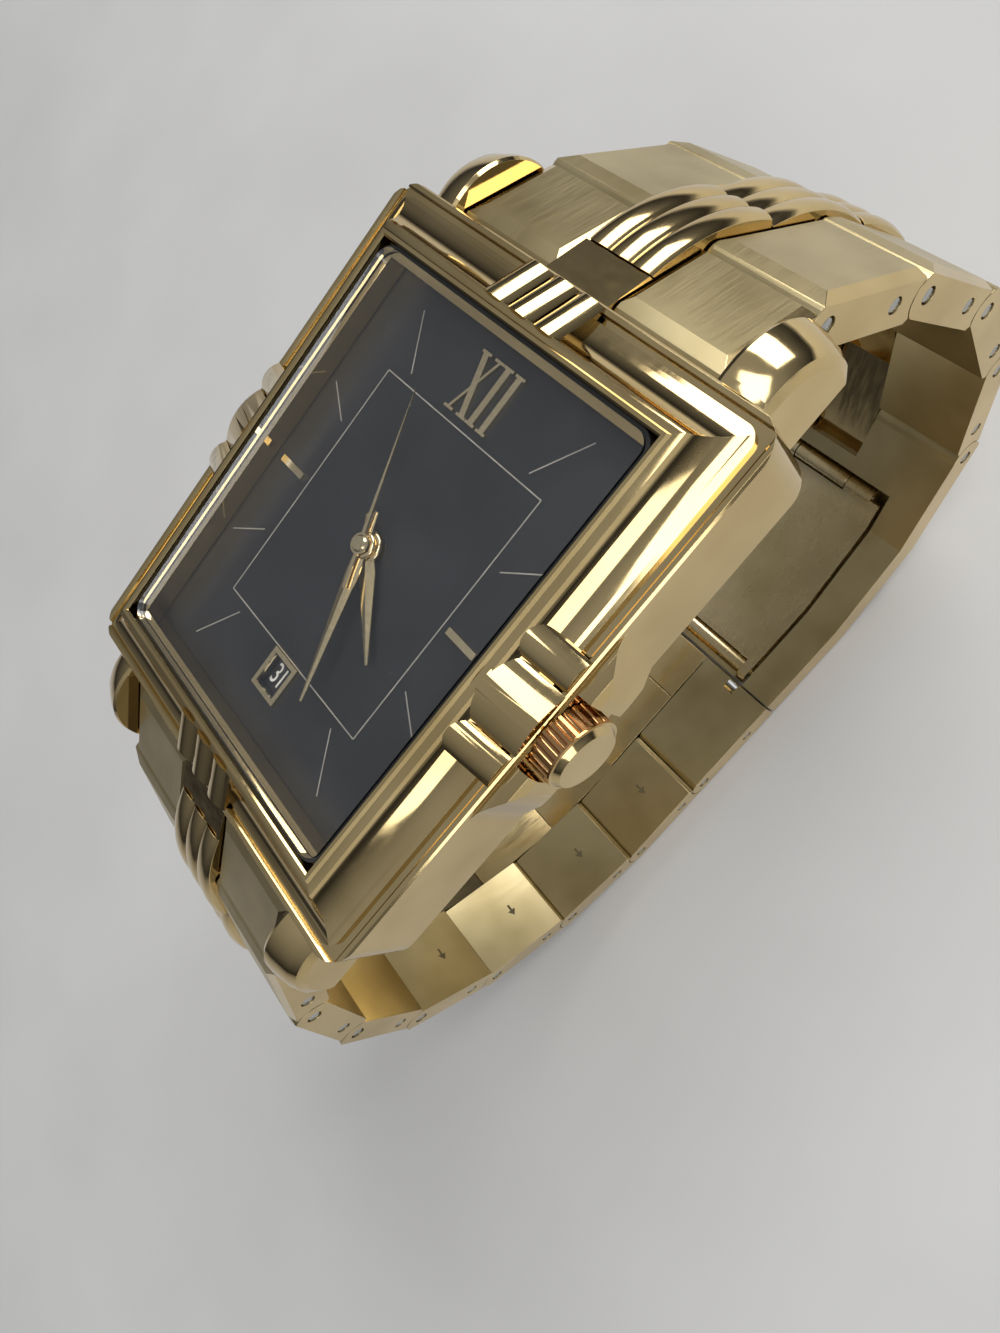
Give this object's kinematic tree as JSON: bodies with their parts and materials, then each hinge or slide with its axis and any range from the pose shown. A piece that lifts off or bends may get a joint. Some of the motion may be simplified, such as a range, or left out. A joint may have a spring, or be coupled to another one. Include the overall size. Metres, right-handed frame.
{
  "type": "bracelet wristwatch",
  "caption": "Square-cornered quartz wristwatch with a date window and a fluted crown, on a closed bracelet of hinged links with a folding clasp, standing dial up.",
  "frame": {"origin": "middle of the flat faces that the closed bracelet stands on, under the hands' axis", "axes": "+X towards 3 o'clock and the crown, +Y towards 12 o'clock, +Z out of the dial"},
  "size_m": [0.0335, 0.073, 0.0512],
  "materials": {
    "case_gold": "polished gold plate",
    "bezel_gold": "mirror-polished gold plate",
    "link_gold": "brushed gold plate with polished chamfers",
    "centre_gold": "polished gold plate",
    "clasp_gold": "brushed gold plate",
    "blade_gold": "satin gold plate",
    "hand_gold": "polished gold",
    "crown_gold": "polished coppery gold",
    "glass": "clear mineral glass",
    "dial_black": "glossy near-black lacquer",
    "disc_black": "dark printed disc",
    "gasket": "black rubber",
    "steel": "plain steel",
    "movement_brass": "matt brass",
    "circuit": "green board with a copper coil",
    "holder": "pale plastic"
  },
  "bodies": {
    "case": {"case_body": "case_gold", "bezel": "bezel_gold", "crystal": "glass", "crystal_gasket": "gasket", "dial": "dial_black", "applied_markers": "hand_gold", "crown_tube": "steel", "case_back": "steel", "case_back_gasket": "gasket", "case_back_screws": "steel", "main_plate": "movement_brass", "train_bridge": "steel", "circuit_block": "circuit", "battery": "steel", "movement_holder": "holder"},
    "hour_set": {"hour_hand": "hand_gold", "hour_wheel": "movement_brass"},
    "minute_set": {"minute_hand": "hand_gold", "centre_wheel": "movement_brass"},
    "second_set": {"second_hand": "hand_gold", "fourth_wheel": "movement_brass"},
    "minute_wheel": {"minute_wheel": "movement_brass"},
    "third_wheel": {"third_wheel": "movement_brass"},
    "fifth_wheel": {"fifth_wheel": "movement_brass"},
    "rotor": {"rotor": "steel"},
    "date_disc": {"date_disc": "disc_black"},
    "crown_slide": {"crown_gasket": "gasket"},
    "crown_set": {"crown": "crown_gold", "stem": "steel"},
    "clasp_cover": {"clasp_cover": "clasp_gold"},
    "middle_blade": {"middle_blade": "blade_gold"},
    "inner_blade": {"inner_blade": "blade_gold"},
    "row_12_1": {"outer_12_1": "link_gold", "centre_12_1": "centre_gold"},
    "row_12_2": {"outer_12_2": "link_gold", "centre_12_2": "centre_gold"},
    "row_12_3": {"outer_12_3": "link_gold", "centre_12_3": "centre_gold"},
    "row_12_4": {"outer_12_4": "link_gold", "centre_12_4": "centre_gold"},
    "row_12_5": {"outer_12_5": "link_gold", "centre_12_5": "centre_gold"},
    "row_6_1": {"outer_6_1": "link_gold", "centre_6_1": "centre_gold"},
    "row_6_2": {"outer_6_2": "link_gold", "centre_6_2": "centre_gold"},
    "row_6_3": {"outer_6_3": "link_gold", "centre_6_3": "centre_gold"},
    "row_6_4": {"outer_6_4": "link_gold", "centre_6_4": "centre_gold"},
    "row_6_5": {"outer_6_5": "link_gold", "centre_6_5": "centre_gold"},
    "row_6_6": {"outer_6_6": "link_gold", "centre_6_6": "centre_gold"},
    "row_6_7": {"outer_6_7": "link_gold", "centre_6_7": "centre_gold"},
    "row_6_8": {"outer_6_8": "link_gold", "centre_6_8": "centre_gold"},
    "row_6_9": {"outer_6_9": "link_gold", "centre_6_9": "centre_gold"}
  },
  "joints": [
    {"name": "hinge_12_1", "type": "hinge", "parent": "case", "child": "row_12_1", "pos_m": [0, 0.0182, 0.04652], "axis": [1, 0, 0], "range_deg": [0, 43]},
    {"name": "hinge_12_2", "type": "hinge", "parent": "row_12_1", "child": "row_12_2", "pos_m": [0, 0.02369, 0.04322], "axis": [1, 0, 0], "range_deg": [0, 29.93]},
    {"name": "hinge_12_3", "type": "hinge", "parent": "row_12_2", "child": "row_12_3", "pos_m": [0, 0.02986, 0.03614], "axis": [1, 0, 0], "range_deg": [0, 27.52]},
    {"name": "hinge_12_4", "type": "hinge", "parent": "row_12_3", "child": "row_12_4", "pos_m": [0, 0.03391, 0.02766], "axis": [1, 0, 0], "range_deg": [0, 33.84]},
    {"name": "hinge_12_5", "type": "hinge", "parent": "row_12_4", "child": "row_12_5", "pos_m": [0, 0.03452, 0.01828], "axis": [1, 0, 0], "range_deg": [0, 40.17]},
    {"name": "hinge_6_1", "type": "hinge", "parent": "case", "child": "row_6_1", "pos_m": [0, -0.0182, 0.04652], "axis": [-1, 0, 0], "range_deg": [0, 43]},
    {"name": "hinge_6_2", "type": "hinge", "parent": "row_6_1", "child": "row_6_2", "pos_m": [0, -0.02369, 0.04322], "axis": [-1, 0, 0], "range_deg": [0, 29.93]},
    {"name": "hinge_6_3", "type": "hinge", "parent": "row_6_2", "child": "row_6_3", "pos_m": [0, -0.02986, 0.03614], "axis": [-1, 0, 0], "range_deg": [0, 27.52]},
    {"name": "hinge_6_4", "type": "hinge", "parent": "row_6_3", "child": "row_6_4", "pos_m": [0, -0.03391, 0.02766], "axis": [-1, 0, 0], "range_deg": [0, 33.84]},
    {"name": "hinge_6_5", "type": "hinge", "parent": "row_6_4", "child": "row_6_5", "pos_m": [0, -0.03452, 0.01828], "axis": [-1, 0, 0], "range_deg": [0, 40.17]},
    {"name": "hinge_6_6", "type": "hinge", "parent": "row_6_5", "child": "row_6_6", "pos_m": [0, -0.03063, 0.00972], "axis": [-1, 0, 0], "range_deg": [0, 40.17]},
    {"name": "hinge_6_7", "type": "hinge", "parent": "row_6_6", "child": "row_6_7", "pos_m": [0, -0.02316, 0.00402], "axis": [-1, 0, 0], "range_deg": [0, 33.84]},
    {"name": "hinge_6_8", "type": "hinge", "parent": "row_6_7", "child": "row_6_8", "pos_m": [0, -0.0141, 0.0015], "axis": [-1, 0, 0], "range_deg": [0, 27.52]},
    {"name": "hinge_6_9", "type": "hinge", "parent": "row_6_8", "child": "row_6_9", "pos_m": [0, -0.0047, 0.0015], "axis": [-1, 0, 0], "range_deg": [0, 12]},
    {"name": "hinge_12_6", "type": "hinge", "parent": "row_12_5", "child": "clasp_cover", "pos_m": [0, 0.03063, 0.00972], "axis": [1, 0, 0], "range_deg": [0, 40.17]},
    {"name": "middle_blade_hinge", "type": "hinge", "parent": "clasp_cover", "child": "middle_blade", "pos_m": [0, 0.0062, 0.0015], "axis": [1, 0, 0], "range_deg": [0, 95]},
    {"name": "inner_blade_hinge", "type": "hinge", "parent": "middle_blade", "child": "inner_blade", "pos_m": [0, 0.02485, 0.00591], "axis": [-1, 0, 0], "range_deg": [0, 95]},
    {"name": "second_turn", "type": "hinge", "parent": "case", "child": "second_set", "pos_m": [0, 0, 0.04852], "axis": [0, 0, -1], "continuous": true},
    {"name": "minute_turn", "type": "hinge", "parent": "case", "child": "minute_set", "pos_m": [0, 0, 0.04652], "axis": [0, 0, -1], "continuous": true},
    {"name": "hour_turn", "type": "hinge", "parent": "case", "child": "hour_set", "pos_m": [0, 0, 0.04652], "axis": [0, 0, -1], "continuous": true},
    {"name": "third_turn", "type": "hinge", "parent": "case", "child": "third_wheel", "pos_m": [-0.0026, 0.00219, 0.04652], "axis": [0, 0, -1], "continuous": true},
    {"name": "minute_wheel_turn", "type": "hinge", "parent": "case", "child": "minute_wheel", "pos_m": [0.00154, 0.00184, 0.04652], "axis": [0, 0, -1], "continuous": true},
    {"name": "fifth_turn", "type": "hinge", "parent": "case", "child": "fifth_wheel", "pos_m": [0.00168, -0.00291, 0.04652], "axis": [0, 0, -1], "continuous": true},
    {"name": "rotor_turn", "type": "hinge", "parent": "case", "child": "rotor", "pos_m": [0.00394, -0.00373, 0.04652], "axis": [0, 0, -1], "continuous": true},
    {"name": "date_turn", "type": "hinge", "parent": "case", "child": "date_disc", "pos_m": [0, 0, 0.04792], "axis": [0, 0, 1], "continuous": true},
    {"name": "crown_pull", "type": "slide", "parent": "case", "child": "crown_slide", "axis": [1, 0, 0], "range_m": [0, 0.001]},
    {"name": "crown_turn", "type": "hinge", "parent": "crown_slide", "child": "crown_set", "pos_m": [0.0154, 0, 0.04692], "axis": [1, 0, 0], "continuous": true}
  ],
  "couplings": [
    {"joint": "minute_turn", "follows": "second_turn", "ratio": 0.016667},
    {"joint": "hour_turn", "follows": "second_turn", "ratio": 0.0013889},
    {"joint": "third_turn", "follows": "second_turn", "ratio": -0.13333},
    {"joint": "minute_wheel_turn", "follows": "second_turn", "ratio": -0.0055556},
    {"joint": "fifth_turn", "follows": "second_turn", "ratio": -6},
    {"joint": "rotor_turn", "follows": "second_turn", "ratio": 30}
  ]
}
